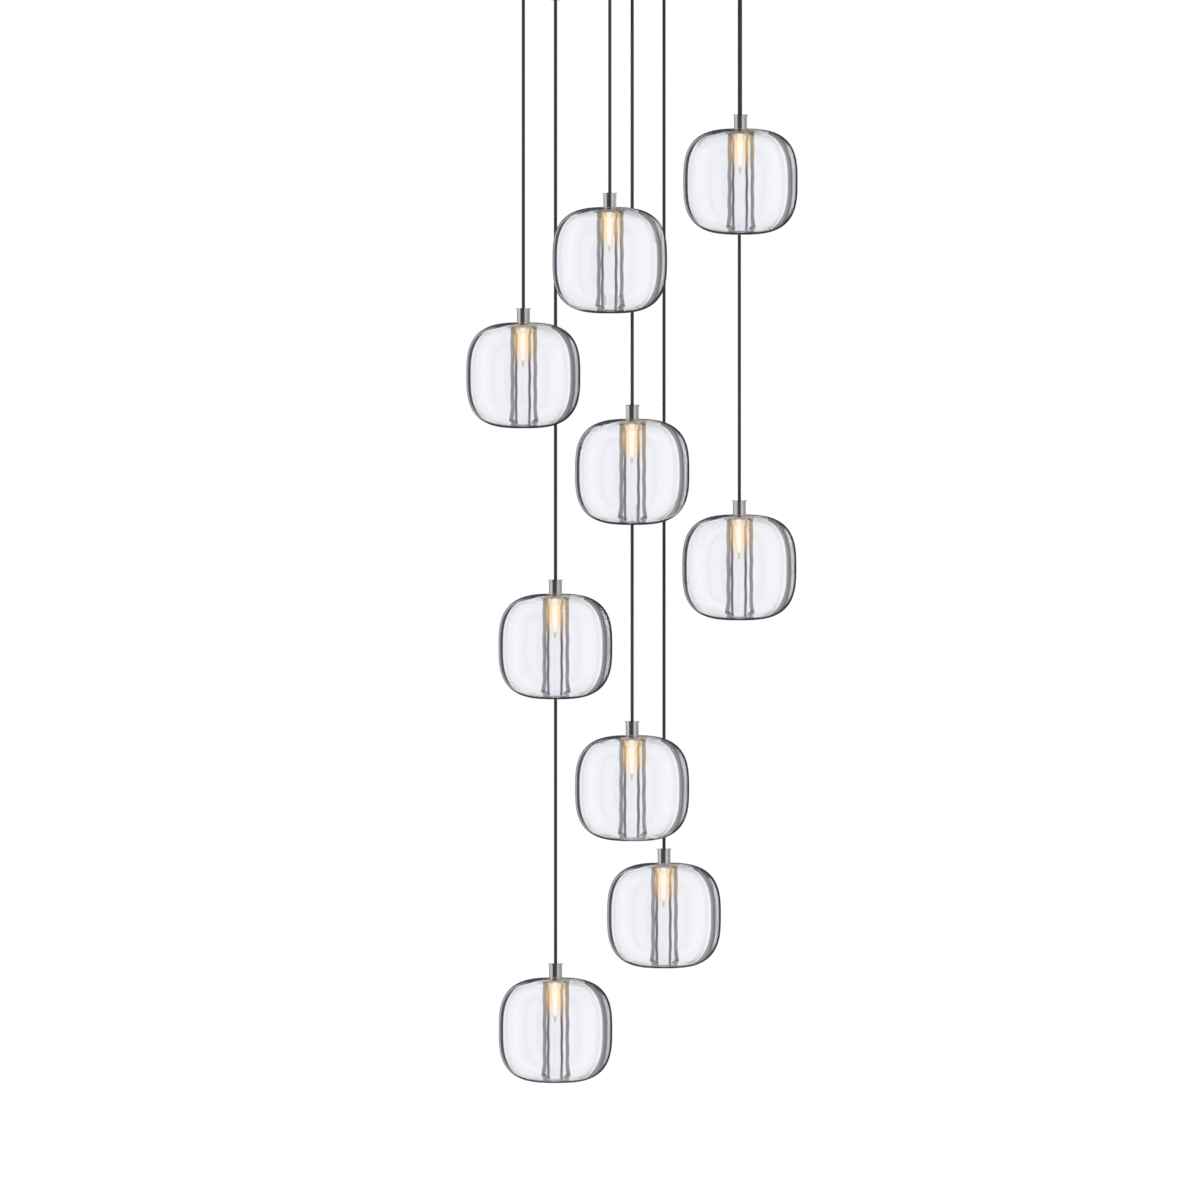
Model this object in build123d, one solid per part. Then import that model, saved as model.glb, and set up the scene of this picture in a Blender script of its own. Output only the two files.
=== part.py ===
from build123d import *
import math
import os

# A cluster of nine low-voltage glass pendants under one round ceiling canopy, in millimetres.
# The origin is on the ceiling at the middle of the canopy, +Z is up, and -Y is the front.

# Glass shade, a hollow soft cube pressed flat on its six sides, with a thick glass tube down the middle
SHADE_WIDTH = 142.5
SHADE_HEIGHT = 132.5
SHADE_CORNER = 49.0
SHADE_PRESS = 0.3
SHADE_WALL = 5.0
TUBE_DIAMETER = 34.0
TUBE_BORE = 16.0
TUBE_FLARE = 5.0
BORE_LIP = 4.0

# Cord and the stop moulded on its lower end
CORD_DIAMETER = 4.0
STOP_DIAMETER = 9.0
STOP_LENGTH = 4.0

# Cap on top of the glass
CAP_DIAMETER = 16.0
CAP_HEIGHT = 17.5
CAP_TOP = 2.0
CAP_LIP_DIAMETER = 18.0
CAP_LIP_HEIGHT = 1.5
CAP_CHAMBER = 12.0

# Lamp holder, whose neck passes up through the glass into the cap
NECK_DIAMETER = 10.0
NECK_RISE = 9.0
FLANGE_HEIGHT = 2.5
WIRE_SOCKET_DEPTH = 7.0

# Capsule lamp
LAMP_DIAMETER = 12.0
LAMP_LENGTH = 41.0
LAMP_SEAL_DIAMETER = 8.0
LAMP_SEAL_HEIGHT = 5.0
LAMP_SHOULDER = 5.0
LAMP_DOME = 7.0
LAMP_TIP_DIAMETER = 4.0
LAMP_TIP_END = 1.6
LAMP_TIP_LENGTH = 8.0
PIN_DIAMETER = 1.2
PIN_LENGTH = 6.0
PIN_SPACING = 6.35

# Canopy pan
CANOPY_DIAMETER = 457.0
CANOPY_HEIGHT = 56.0
CANOPY_WALL = 1.5
CANOPY_EDGE = 5.0

# Cord grip through the canopy's floor, with its nut and set screw
GRIP_DIAMETER = 14.0
GRIP_LENGTH = 16.0
GRIP_CHAMFER = 1.0
GRIP_THREAD = 10.0
GRIP_THREAD_SPARE = 3.0
GRIP_POCKET_DEPTH = 4.0
NUT_ACROSS_FLATS = 14.0
NUT_HEIGHT = 4.0
SET_SCREW_DIAMETER = 3.0
SET_SCREW_KEY = 1.5
SET_SCREW_KEY_DEPTH = 1.8
SET_SCREW_DROP = 5.0

# Cross bracket on the ceiling
BRACKET_WIDTH = 36.0
BRACKET_PLATE = 2.5
TAB_WIDTH = 20.0
TAB_HEIGHT = 18.0
BOX_HOLE_SPACING = 88.9
BOX_HOLE_DIAMETER = 5.0

# Screws that hold the canopy, the transformer, the terminal block and the earth wire
SCREW_DIAMETER = 4.0
SCREW_HEAD_DIAMETER = 7.0
SCREW_HEAD_HEIGHT = 2.6
CANOPY_SCREW_REACH = 6.0
CANOPY_SCREW_DROP = 10.0
EARTH_SCREW_X = -84.0

# Terminal block under the bracket's front arm
BLOCK_LENGTH = 88.0
BLOCK_WIDTH = 20.0
BLOCK_HEIGHT = 18.0
BLOCK_Y = -47.0
BLOCK_SCREW_SPACING = 24.0
WAY_DEPTH = 5.0
WAY_DROP = 12.0

# Transformer under the bracket's rear arm
TRANSFORMER_WIDTH = 38.0
TRANSFORMER_LENGTH = 100.0
TRANSFORMER_HEIGHT = 28.0
TRANSFORMER_Y = 86.0
TRANSFORMER_EDGE = 3.0
EAR_LENGTH = 11.0
EAR_WIDTH = 20.0
EAR_HEIGHT = 3.0
LEAD_DIAMETER = 4.0
LEAD_X = -10.0

# Cord tails inside the canopy
TAIL_BEND = 20.0
TAIL_ENTRY_RUN = 30.0

# Fits, each the gap on one side
CORD_FIT = 0.15
POCKET_FIT = 0.6
NECK_FIT = 0.05
GLASS_FIT = 0.3
FLANGE_FIT = 0.7
PIN_FIT = 0.1
SOCKET_FIT = 0.5
THREAD_FIT = 0.05
HOLE_FIT = 0.2
TAB_FIT = 0.3
WAY_FIT = 0.2
END_GAP = 0.2
HEAD_GAP = 0.05

# Rows of pendants from front to back
LAYER = 95.0

# How far each glass top hangs below the ceiling
DROP_1 = 237.0
DROP_2 = 336.0
DROP_3 = 478.0
DROP_4 = 599.0
DROP_5 = 718.0
DROP_6 = 817.0
DROP_7 = 994.0
DROP_8 = 1154.0
DROP_9 = 1299.0

# Each pendant: across, front to back, its drop, and where its tail enters the terminal block
PENDANTS = [
    (135.0, -LAYER, DROP_1, 30.0),
    (-28.0, -2 * LAYER, DROP_2, -15.0),
    (-136.0, 0.0, DROP_3, -39.0),
    (0.0, -LAYER, DROP_4, 0.0),
    (134.0, 0.0, DROP_5, 36.0),
    (-96.0, LAYER, DROP_6, -31.0),
    (0.0, 0.0, DROP_7, 0.0),
    (40.0, LAYER, DROP_8, 18.0),
    (-96.0, 2 * LAYER, DROP_9, -23.0),
]

# Heights that several pieces share
FLOOR_TOP = -CANOPY_HEIGHT + CANOPY_WALL
GRIP_MOUTH = -CANOPY_HEIGHT - GRIP_LENGTH
POCKET_FLOOR = GRIP_MOUTH + GRIP_POCKET_DEPTH
WAY_HEIGHT = -BRACKET_PLATE - WAY_DROP
FLANGE_BOTTOM = -SHADE_WALL - FLANGE_HEIGHT
WIRE_SOCKET_FLOOR = NECK_RISE - WIRE_SOCKET_DEPTH
CAP_CEILING = CAP_HEIGHT - CAP_TOP
FLANGE_DIAMETER = TUBE_BORE - 2 * FLANGE_FIT
TAB_FACE = math.sqrt((CANOPY_DIAMETER / 2 - CANOPY_WALL) ** 2 - (TAB_WIDTH / 2) ** 2) - TAB_FIT

BLOCK_SCREWS = [(-BLOCK_SCREW_SPACING / 2, BLOCK_Y), (BLOCK_SCREW_SPACING / 2, BLOCK_Y)]
EAR_OFFSET = TRANSFORMER_LENGTH / 2 + EAR_LENGTH / 2
TRANSFORMER_SCREWS = [(0, TRANSFORMER_Y - EAR_OFFSET), (0, TRANSFORMER_Y + EAR_OFFSET)]
ARMS = (0, 90, 180, 270)

UPRIGHT = (Align.CENTER, Align.CENTER, Align.MIN)
HANGING = (Align.CENTER, Align.CENTER, Align.MAX)


def section(*runs):
    """A closed face beside the Z axis from runs drawn as radius and height."""
    return Plane.XZ * make_face(list(runs))


def turned(*corners):
    """A solid of revolution about Z from corners given as radius and height."""
    return revolve(section(Polyline(*corners, close=True)), Axis.Z)


def rod(diameter, bottom, top):
    """An upright cylinder on the Z axis between two heights."""
    return Pos(0, 0, bottom) * Cylinder(diameter / 2, top - bottom, align=UPRIGHT)


def soft_cube(inset=0):
    """The shade's outer form, or one set in from it all round, pressed flat, with the shade's top at zero."""
    width = SHADE_WIDTH - 2 * inset
    height = SHADE_HEIGHT - 2 * inset
    blank = Box(width + 2 * SHADE_PRESS, width + 2 * SHADE_PRESS, height + 2 * SHADE_PRESS)
    blank = fillet(blank.edges(), SHADE_CORNER - inset)
    return Pos(0, 0, -SHADE_HEIGHT / 2) * (blank & Box(width, width, height))


def pan_screw(reach):
    """A pan-head screw on the Z axis, pointing up, with its head's flat at zero."""
    head = rod(SCREW_HEAD_DIAMETER, -SCREW_HEAD_HEIGHT, 0)
    head = fillet(head.edges().group_by(Axis.Z)[0], SCREW_HEAD_HEIGHT / 2)
    return head + rod(SCREW_DIAMETER, 0, reach)


def radial(shape, angle, radius, height):
    """Turns a shape that points up so that it points at the Z axis, at an angle round it."""
    return Rot(0, 0, angle) * Pos(radius, 0, height) * Rot(0, -90, 0) * shape


def glass_tube():
    """The tube's outside down the middle of a shade, flared where it meets the top and the bottom wall."""
    side = TUBE_DIAMETER / 2
    root = side + TUBE_FLARE
    top = -SHADE_WALL
    bottom = -SHADE_HEIGHT + SHADE_WALL
    return revolve(section(
        Polyline((root, top), (0, top), (0, bottom), (root, bottom)),
        CenterArc((root, bottom + TUBE_FLARE), TUBE_FLARE, 270, -90),
        Line((side, bottom + TUBE_FLARE), (side, top - TUBE_FLARE)),
        CenterArc((root, top - TUBE_FLARE), TUBE_FLARE, 180, -90),
    ), Axis.Z)


def lamp_bore():
    """The lamp's way up the tube, with a rounded lip where it leaves the shade's bottom."""
    side = TUBE_BORE / 2
    lip = side + BORE_LIP
    return revolve(section(
        Polyline((lip, -SHADE_HEIGHT), (lip, -SHADE_HEIGHT - BORE_LIP), (0, -SHADE_HEIGHT - BORE_LIP),
                 (0, -SHADE_WALL), (side, -SHADE_WALL), (side, -SHADE_HEIGHT + BORE_LIP)),
        CenterArc((lip, -SHADE_HEIGHT + BORE_LIP), BORE_LIP, 180, 90),
    ), Axis.Z)


def glass_shade():
    """A hollow soft cube of glass with its bored tube, and a hole on top for the holder's neck."""
    hollow = soft_cube(SHADE_WALL) - glass_tube()
    neck_hole = rod(NECK_DIAMETER + 2 * GLASS_FIT, -SHADE_WALL, 0)
    return soft_cube() - hollow - lamp_bore() - neck_hole


def cap():
    """A turned cap that screws down the neck on to the glass, with a thin lip round its top."""
    neck = NECK_DIAMETER / 2 + NECK_FIT
    cord_hole = CORD_DIAMETER / 2 + CORD_FIT
    return turned(
        (neck, 0), (CAP_DIAMETER / 2, 0), (CAP_DIAMETER / 2, CAP_HEIGHT - CAP_LIP_HEIGHT),
        (CAP_LIP_DIAMETER / 2, CAP_HEIGHT - CAP_LIP_HEIGHT), (CAP_LIP_DIAMETER / 2, CAP_HEIGHT),
        (cord_hole, CAP_HEIGHT), (cord_hole, CAP_CEILING), (CAP_CHAMBER / 2, CAP_CEILING),
        (CAP_CHAMBER / 2, NECK_RISE), (neck, NECK_RISE),
    )


def lamp_holder():
    """A ceramic holder: a flange under the glass and a neck with a wire socket and two pin holes."""
    neck = NECK_DIAMETER / 2
    socket = CORD_DIAMETER / 2 + SOCKET_FIT
    body = turned(
        (0, FLANGE_BOTTOM), (FLANGE_DIAMETER / 2, FLANGE_BOTTOM), (FLANGE_DIAMETER / 2, -SHADE_WALL),
        (neck, -SHADE_WALL), (neck, NECK_RISE), (socket, NECK_RISE), (socket, WIRE_SOCKET_FLOOR),
        (0, WIRE_SOCKET_FLOOR),
    )
    pin_hole = rod(PIN_DIAMETER + 2 * PIN_FIT, FLANGE_BOTTOM, FLANGE_BOTTOM + PIN_LENGTH + END_GAP)
    for side in (-1, 1):
        body -= Pos(side * PIN_SPACING / 2, 0, 0) * pin_hole
    return body


def lamp():
    """A capsule lamp that hangs from its two pins: seal, shoulder, straight side, dome and drawn tip."""
    seal = LAMP_SEAL_DIAMETER / 2
    side = LAMP_DIAMETER / 2
    tip = LAMP_TIP_DIAMETER / 2
    seal_end = FLANGE_BOTTOM - LAMP_SEAL_HEIGHT
    shoulder_end = seal_end - LAMP_SHOULDER
    dome_end = FLANGE_BOTTOM - LAMP_LENGTH
    dome_start = dome_end + LAMP_DOME
    tip_end = dome_end - LAMP_TIP_LENGTH
    capsule = revolve(section(
        Polyline((tip, dome_end), (LAMP_TIP_END / 2, tip_end), (0, tip_end), (0, FLANGE_BOTTOM),
                 (seal, FLANGE_BOTTOM), (seal, seal_end), (side, shoulder_end), (side, dome_start)),
        TangentArc((side, dome_start), (tip, dome_end), tangent=(0, -1)),
    ), Axis.Z)
    pin = rod(PIN_DIAMETER, FLANGE_BOTTOM, FLANGE_BOTTOM + PIN_LENGTH)
    for way in (-1, 1):
        capsule += Pos(way * PIN_SPACING / 2, 0, 0) * pin
    return capsule


def cord(drop):
    """A straight cord from its grip to the wire socket, with the stop that carries the cap."""
    side = CORD_DIAMETER / 2
    stop_top = CAP_CEILING - END_GAP
    stop_bottom = stop_top - STOP_LENGTH
    top = POCKET_FLOOR - END_GAP + drop
    bottom = WIRE_SOCKET_FLOOR + END_GAP
    return turned(
        (0, bottom), (side, bottom), (side, stop_bottom), (STOP_DIAMETER / 2, stop_bottom),
        (STOP_DIAMETER / 2, stop_top), (side, stop_top), (side, top), (0, top),
    )


def cord_grip():
    """A turned grip below the canopy's floor, with a thread up through it and a pocket at its mouth."""
    bore = CORD_DIAMETER / 2 + CORD_FIT
    pocket = CORD_DIAMETER / 2 + POCKET_FIT
    side = GRIP_DIAMETER / 2
    thread = GRIP_THREAD / 2
    thread_top = FLOOR_TOP + NUT_HEIGHT + GRIP_THREAD_SPARE
    body = turned(
        (pocket, GRIP_MOUTH), (side - GRIP_CHAMFER, GRIP_MOUTH), (side, GRIP_MOUTH + GRIP_CHAMFER),
        (side, -CANOPY_HEIGHT), (thread, -CANOPY_HEIGHT), (thread, thread_top), (bore, thread_top),
        (bore, POCKET_FLOOR), (pocket, POCKET_FLOOR),
    )
    screw_hole = Cylinder(SET_SCREW_DIAMETER / 2 + THREAD_FIT, GRIP_DIAMETER, align=UPRIGHT)
    return body - Pos(0, 0, -CANOPY_HEIGHT - SET_SCREW_DROP) * Rot(-90, 0, 0) * screw_hole


def grip_nut():
    """A thin hexagon nut on the canopy's floor."""
    blank = extrude(RegularPolygon(NUT_ACROSS_FLATS / 2, 6, major_radius=False), NUT_HEIGHT)
    return Pos(0, 0, FLOOR_TOP) * (blank - rod(GRIP_THREAD + 2 * THREAD_FIT, 0, NUT_HEIGHT))


def grip_set_screw():
    """A headless screw from the back of the grip to the cord, with a hexagon key socket."""
    start = CORD_DIAMETER / 2 + HEAD_GAP
    end = math.sqrt((GRIP_DIAMETER / 2) ** 2 - (SET_SCREW_DIAMETER / 2) ** 2)
    screw = rod(SET_SCREW_DIAMETER, start, end)
    key = extrude(RegularPolygon(SET_SCREW_KEY / 2, 6, major_radius=False), SET_SCREW_KEY_DEPTH)
    screw -= Pos(0, 0, end - SET_SCREW_KEY_DEPTH) * key
    return Pos(0, 0, -CANOPY_HEIGHT - SET_SCREW_DROP) * Rot(-90, 0, 0) * screw


def canopy_pan():
    """A round pan, open to the ceiling, with a hole for each grip and four for its screws."""
    outer = rod(CANOPY_DIAMETER, -CANOPY_HEIGHT, 0)
    outer = fillet(outer.edges().group_by(Axis.Z)[0], CANOPY_EDGE)
    inner = rod(CANOPY_DIAMETER - 2 * CANOPY_WALL, FLOOR_TOP, 0)
    inner = fillet(inner.edges().group_by(Axis.Z)[0], CANOPY_EDGE - CANOPY_WALL)
    pan = outer - inner
    grip_hole = rod(GRIP_THREAD + 2 * HOLE_FIT, -CANOPY_HEIGHT, FLOOR_TOP)
    for across, along, drop, entry in PENDANTS:
        pan -= Pos(across, along, 0) * grip_hole
    screw_hole = rod(SCREW_DIAMETER + 2 * HOLE_FIT, 0, 2 * CANOPY_SCREW_REACH)
    for angle in ARMS:
        pan -= radial(screw_hole, angle, CANOPY_DIAMETER / 2 + CANOPY_SCREW_REACH, -CANOPY_SCREW_DROP)
    return pan


def ceiling_bracket():
    """A cross of flat steel on the ceiling, each arm bent down at its end for a canopy screw."""
    bracket = Box(2 * TAB_FACE, BRACKET_WIDTH, BRACKET_PLATE, align=HANGING)
    bracket += Box(BRACKET_WIDTH, 2 * TAB_FACE, BRACKET_PLATE, align=HANGING)
    reach = CANOPY_DIAMETER / 2 - TAB_FACE + BRACKET_PLATE
    tab = Pos(TAB_FACE - BRACKET_PLATE / 2, 0, 0) * Box(BRACKET_PLATE, TAB_WIDTH, TAB_HEIGHT, align=HANGING)
    shoulder = Pos(TAB_FACE, 0, 0) * Box(2 * reach, BRACKET_WIDTH, BRACKET_PLATE, align=HANGING)
    shoulder -= Box(2 * CANOPY_DIAMETER, TAB_WIDTH, 2 * BRACKET_PLATE)
    screw_hole = rod(SCREW_DIAMETER + 2 * THREAD_FIT, 0, reach)
    for angle in ARMS:
        bracket -= Rot(0, 0, angle) * shoulder
        bracket += Rot(0, 0, angle) * tab
        bracket -= radial(screw_hole, angle, TAB_FACE, -CANOPY_SCREW_DROP)
    box_hole = rod(BOX_HOLE_DIAMETER, -BRACKET_PLATE, 0)
    for side in (-1, 1):
        bracket -= Pos(side * BOX_HOLE_SPACING / 2, 0, 0) * box_hole
    thread = rod(SCREW_DIAMETER + 2 * THREAD_FIT, -BRACKET_PLATE, 0)
    for x, y in BLOCK_SCREWS + TRANSFORMER_SCREWS + [(EARTH_SCREW_X, 0)]:
        bracket -= Pos(x, y, 0) * thread
    return bracket


def canopy_screw(angle):
    """One of the screws that hold the canopy's wall to the bracket."""
    return radial(pan_screw(CANOPY_SCREW_REACH), angle, CANOPY_DIAMETER / 2 + HEAD_GAP, -CANOPY_SCREW_DROP)


def terminal_block():
    """A block with a way for each cord tail and one for the transformer's lead."""
    block = Pos(0, BLOCK_Y, -BRACKET_PLATE) * Box(BLOCK_LENGTH, BLOCK_WIDTH, BLOCK_HEIGHT, align=HANGING)
    way = Cylinder(CORD_DIAMETER / 2 + WAY_FIT, 2 * WAY_DEPTH)
    for across, along, drop, entry in PENDANTS:
        block -= Pos(entry, block_face(along), WAY_HEIGHT) * Rot(90, 0, 0) * way
    lead_way = Cylinder(LEAD_DIAMETER / 2 + WAY_FIT, 2 * WAY_DEPTH)
    block -= Pos(LEAD_X, BLOCK_Y + BLOCK_WIDTH / 2, WAY_HEIGHT) * Rot(90, 0, 0) * lead_way
    screw_hole = rod(SCREW_DIAMETER + 2 * HOLE_FIT, -BRACKET_PLATE - BLOCK_HEIGHT, -BRACKET_PLATE)
    for x, y in BLOCK_SCREWS:
        block -= Pos(x, y, 0) * screw_hole
    return block


def transformer():
    """A boxed transformer with an ear at each end, under the bracket's rear arm."""
    case = Box(TRANSFORMER_WIDTH, TRANSFORMER_LENGTH, TRANSFORMER_HEIGHT, align=HANGING)
    case = fillet(case.edges(), TRANSFORMER_EDGE)
    case += Box(EAR_WIDTH, TRANSFORMER_LENGTH + 2 * EAR_LENGTH, EAR_HEIGHT, align=HANGING)
    case = Pos(0, TRANSFORMER_Y, -BRACKET_PLATE) * case
    screw_hole = rod(SCREW_DIAMETER + 2 * HOLE_FIT, -BRACKET_PLATE - EAR_HEIGHT, -BRACKET_PLATE)
    for x, y in TRANSFORMER_SCREWS:
        case -= Pos(x, y, 0) * screw_hole
    return case


def transformer_lead():
    """A straight lead from the transformer's front end into the terminal block."""
    start = TRANSFORMER_Y - TRANSFORMER_LENGTH / 2
    end = BLOCK_Y + BLOCK_WIDTH / 2 - WAY_DEPTH + END_GAP
    lead = Cylinder(LEAD_DIAMETER / 2, start - end, align=UPRIGHT)
    return Pos(LEAD_X, start, WAY_HEIGHT) * Rot(90, 0, 0) * lead


def block_face(along):
    """The side of the terminal block that a tail enters: front or back."""
    side = -1 if along < BLOCK_Y else 1
    return BLOCK_Y + side * BLOCK_WIDTH / 2


def cord_tail(across, along, entry):
    """A cord's held end: up through its grip, over a bend and into its way in the terminal block."""
    face = block_face(along)
    side = math.copysign(1, face - BLOCK_Y)
    end = (entry, face - side * (WAY_DEPTH - END_GAP), WAY_HEIGHT)
    route = [(across, along, POCKET_FLOOR), (across, along, WAY_HEIGHT)]
    if entry != across:
        route.append((entry, face + side * TAIL_ENTRY_RUN, WAY_HEIGHT))
    route.append(end)
    path = FilletPolyline(*route, radius=TAIL_BEND)
    tail = sweep(Plane(route[0]) * Circle(CORD_DIAMETER / 2), path)
    share = tail.volume / (path.length * math.pi * CORD_DIAMETER ** 2 / 4)
    print(f"tail {path.length:.1f} mm, bends of {TAIL_BEND:.0f} mm, volume {share:.4f} of its tube")
    return tail


def write(name, *solids):
    """Writes one node, which holds one piece or a group of pieces."""
    shape = solids[0] if len(solids) == 1 else Compound(children=list(solids))
    export_step(shape, f"parts/{name}.step")


def write_pendants():
    """The five nodes of every pendant."""
    shade_piece = glass_shade()
    cap_piece = cap()
    holder_piece = lamp_holder()
    lamp_piece = lamp()
    for number, (across, along, drop, entry) in enumerate(PENDANTS, start=1):
        place = Pos(across, along, -drop)
        write(f"glass_shade_{number}", place * shade_piece)
        write(f"cap_{number}", place * cap_piece)
        write(f"lamp_holder_{number}", place * holder_piece)
        write(f"lamp_{number}", place * lamp_piece)
        write(f"cord_{number}", place * cord(drop))


def write_canopy():
    """The ceiling canopy and what it holds."""
    places = [Pos(across, along, 0) for across, along, drop, entry in PENDANTS]
    grip = cord_grip()
    nut = grip_nut()
    set_screw = grip_set_screw()
    block_screw = Pos(0, 0, -BRACKET_PLATE - BLOCK_HEIGHT) * pan_screw(BLOCK_HEIGHT + BRACKET_PLATE - END_GAP)
    ear_screw = Pos(0, 0, -BRACKET_PLATE - EAR_HEIGHT) * pan_screw(EAR_HEIGHT + BRACKET_PLATE - END_GAP)
    write("canopy_pan", canopy_pan())
    write("ceiling_bracket", ceiling_bracket())
    write("canopy_screws", *[canopy_screw(angle) for angle in ARMS])
    write("cord_grips", *[place * grip for place in places])
    write("grip_nuts", *[place * nut for place in places])
    write("grip_set_screws", *[place * set_screw for place in places])
    write("cord_tails", *[cord_tail(across, along, entry) for across, along, drop, entry in PENDANTS])
    write("terminal_block", terminal_block())
    write("block_screws", *[Pos(x, y, 0) * block_screw for x, y in BLOCK_SCREWS])
    write("transformer", transformer())
    write("transformer_screws", *[Pos(x, y, 0) * ear_screw for x, y in TRANSFORMER_SCREWS])
    write("transformer_lead", transformer_lead())
    write("earth_screw", Pos(EARTH_SCREW_X, 0, -BRACKET_PLATE) * pan_screw(BRACKET_PLATE - END_GAP))


os.makedirs("parts", exist_ok=True)
write_pendants()
write_canopy()
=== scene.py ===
"""Looks of a cluster of nine clear glass pendants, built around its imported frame, in metres."""
import math

import bmesh
import bpy
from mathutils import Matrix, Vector


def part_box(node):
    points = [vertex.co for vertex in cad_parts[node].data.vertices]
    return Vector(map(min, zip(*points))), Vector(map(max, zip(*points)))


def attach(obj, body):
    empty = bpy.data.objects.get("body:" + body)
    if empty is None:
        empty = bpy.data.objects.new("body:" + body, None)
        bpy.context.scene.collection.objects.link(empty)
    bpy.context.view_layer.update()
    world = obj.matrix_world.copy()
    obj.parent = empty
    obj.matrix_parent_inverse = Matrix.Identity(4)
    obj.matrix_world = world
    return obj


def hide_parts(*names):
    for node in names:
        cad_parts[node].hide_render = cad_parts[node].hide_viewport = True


MM = 0.001
COUNT = 9

# Camera: a long lens far away, because the photo shows no perspective
IMAGE_WIDTH = 1.5
SENSOR_MM = 36.0
LENS_MM = 1000.0
CLIP_END = 200.0
VIEW_MIDDLE_X = -0.0402
VIEW_MIDDLE_Z = -0.8251

# Glass, where the cavity sits a little to the left so that the right wall is thicker
POWER = 3.0
SIDE_WALL = 7.8 * MM
CAVITY_SHIFT = 1.8 * MM
END_WALL = 3.9 * MM
CAVITY_DROP = 0.6 * MM
ROUND_WITHIN = 20.0 * MM
SQUARE_BEYOND = 48.0 * MM
GLASS_IOR = 1.5
MIRROR_FACING = 1 - math.sqrt(1 - 1 / GLASS_IOR ** 2)

# Bore of the glass tube, wider round the lamp holder
NECK_RADIUS = 5.3 * MM
BORE_RADIUS = 7.0 * MM
BORE_LIP = 4.0 * MM
BORE_CEILING = 5.0 * MM
HOLDER_RADIUS = 8.0 * MM
HOLDER_DEPTH = 9.0 * MM
HOLDER_EASE = 3.0 * MM

# Outside of the glass tube, and the waves of hand-made glass on both its sides
TUBE_RADIUS = 17.0 * MM
TUBE_FLARE = 5.0 * MM
TUBE_SHIFT = 1.0 * MM
TUBE_FOOT = 2.0 * MM
FOOT_HEIGHT = 20.0 * MM
TUBE_WAVE = 0.22 * MM
WAVE_LENGTH = 31.0 * MM
SECOND_WAVE = 0.6
SECOND_TURN = 5.3
BORE_WAVE = 0.6
BORE_WAVE_LAG = WAVE_LENGTH / 3

# Capsule lamp below its holder
SEAL_RADIUS = 4.0 * MM
SEAL_HEIGHT = 5.0 * MM
SHOULDER_HEIGHT = 5.0 * MM
TIP_HEIGHT = 8.0 * MM
TIP_RADIUS = 1.9 * MM
TIP_END_RADIUS = 0.8 * MM
CAP_RADIUS = 0.08 * MM
LAMP_RADIUS = 5.9 * MM
PIN_HEIGHT = 6.0 * MM
DOME_POWER = 0.8

# Cord
CORD_DIAMETER = 4.0 * MM
CORD_STRAIGHT = 6 * CORD_DIAMETER
CORD_ORDER = 3

# Cord tails inside the canopy: how each leaves its grip and enters the terminal block
GRIP_RISE = 21.0 * MM
WAY_DROP = 12.0 * MM
WAY_DEPTH = 4.8 * MM
ENTRY_RUN = 30.0 * MM

# Each tail: where it enters the terminal block, across, and its length, in millimetres
TAILS = [(30, 178), (-15, 184), (-39, 170), (0, 88), (36, 171), (-31, 200), (0, 87), (18, 184), (-23, 290)]

# Fineness of the meshes: steps around, over, along and round a corner
AROUND = 128
OVER = 96
ALONG = 40
CORNER = 8
LAMP_AROUND = 48
DOME_STEPS = 24
TIP_STEPS = 6
CORD_STEPS = 6
FLOOR_STEPS = 96
SHARP_ANGLE = math.radians(40)

# Material slots of a shade and of a lamp
OUTSIDE, INSIDE, TUBE, BORE = range(4)
LIT, PLAIN = range(2)

# Colours of the glass, of the painted reflections at its rims and of the lamp's light painted in it
CLEAR = (0.958, 0.963, 0.985)
PALE = (0.985, 0.985, 0.995)
LAMPLIT_PALE = (1.0, 0.89, 0.72)
SLATE = (0.085, 0.102, 0.165)
GREY = (0.21, 0.21, 0.235)
LAVENDER = (0.58, 0.59, 0.66)
MIRROR_GREY = (0.52, 0.51, 0.52)
DARK = (0.045, 0.047, 0.055)
BLACK = (0.004, 0.004, 0.006)
BROWN = (0.16, 0.09, 0.033)
AMBER = (0.40, 0.26, 0.10)
LAMPLIGHT = (0.42, 0.25, 0.09)

# Painted reflections at the rims of the glass, standing in for the dark studio that the glass mirrors and
# bends there, by how much a face turns away from the eye: 0 faces it and 1 is edge on
PALE_EDGE = [(0.0, CLEAR), (0.84, CLEAR), (1.0, GREY)]
BLACK_REFLECTION_EDGE = [(0.0, CLEAR), (0.72, CLEAR), (0.82, BLACK), (1.0, BLACK)]
COOL_TUBE = [(0.0, PALE), (0.27, PALE), (0.33, DARK), (0.7, DARK), (1.0, BLACK)]
LAMPLIT_TUBE = [(0.0, LAMPLIT_PALE), (0.24, LAMPLIT_PALE), (0.31, BROWN), (0.7, BROWN), (1.0, DARK)]
CLEAR_WALL = [(0.0, CLEAR), (0.75, CLEAR), (1.0, LAVENDER)]
SLATE_RIM = [(0.0, SLATE), (0.27, SLATE), (0.285, GREY), (0.30, LAVENDER), (1.0, LAVENDER)]
GREY_RIM = [(0.0, MIRROR_GREY), (0.275, MIRROR_GREY), (0.295, GREY), (1.0, GREY)]
CLEAR_BORE = [(0.0, PALE), (0.75, PALE), (1.0, GREY)]
COOL_BORE = [(0.0, SLATE), (0.5, GREY), (1.0, GREY)]
LAMPLIT_BORE = [(0.0, AMBER), (1.0, AMBER)]
# Facing at which the painted grey reflection on the right gives way to a clear gap
GAP_FROM = 0.30
GAP_TO = 0.325

# Blend at which Layer Weight gives that measure plainly
PLAIN_BLEND = 0.5

# Parts of a shade where its painted rims and its painted lamplight change: an axis of its box, and the shares
# of it between which they do
RIGHT = ("X", 0.55, 0.85)
BOTTOM = ("Z", 0.35, 0.05)
LAMPLIT_PART = ("Z", 0.50, 0.88)
LIT_PART = ("Z", 0.55, 0.85)

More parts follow.
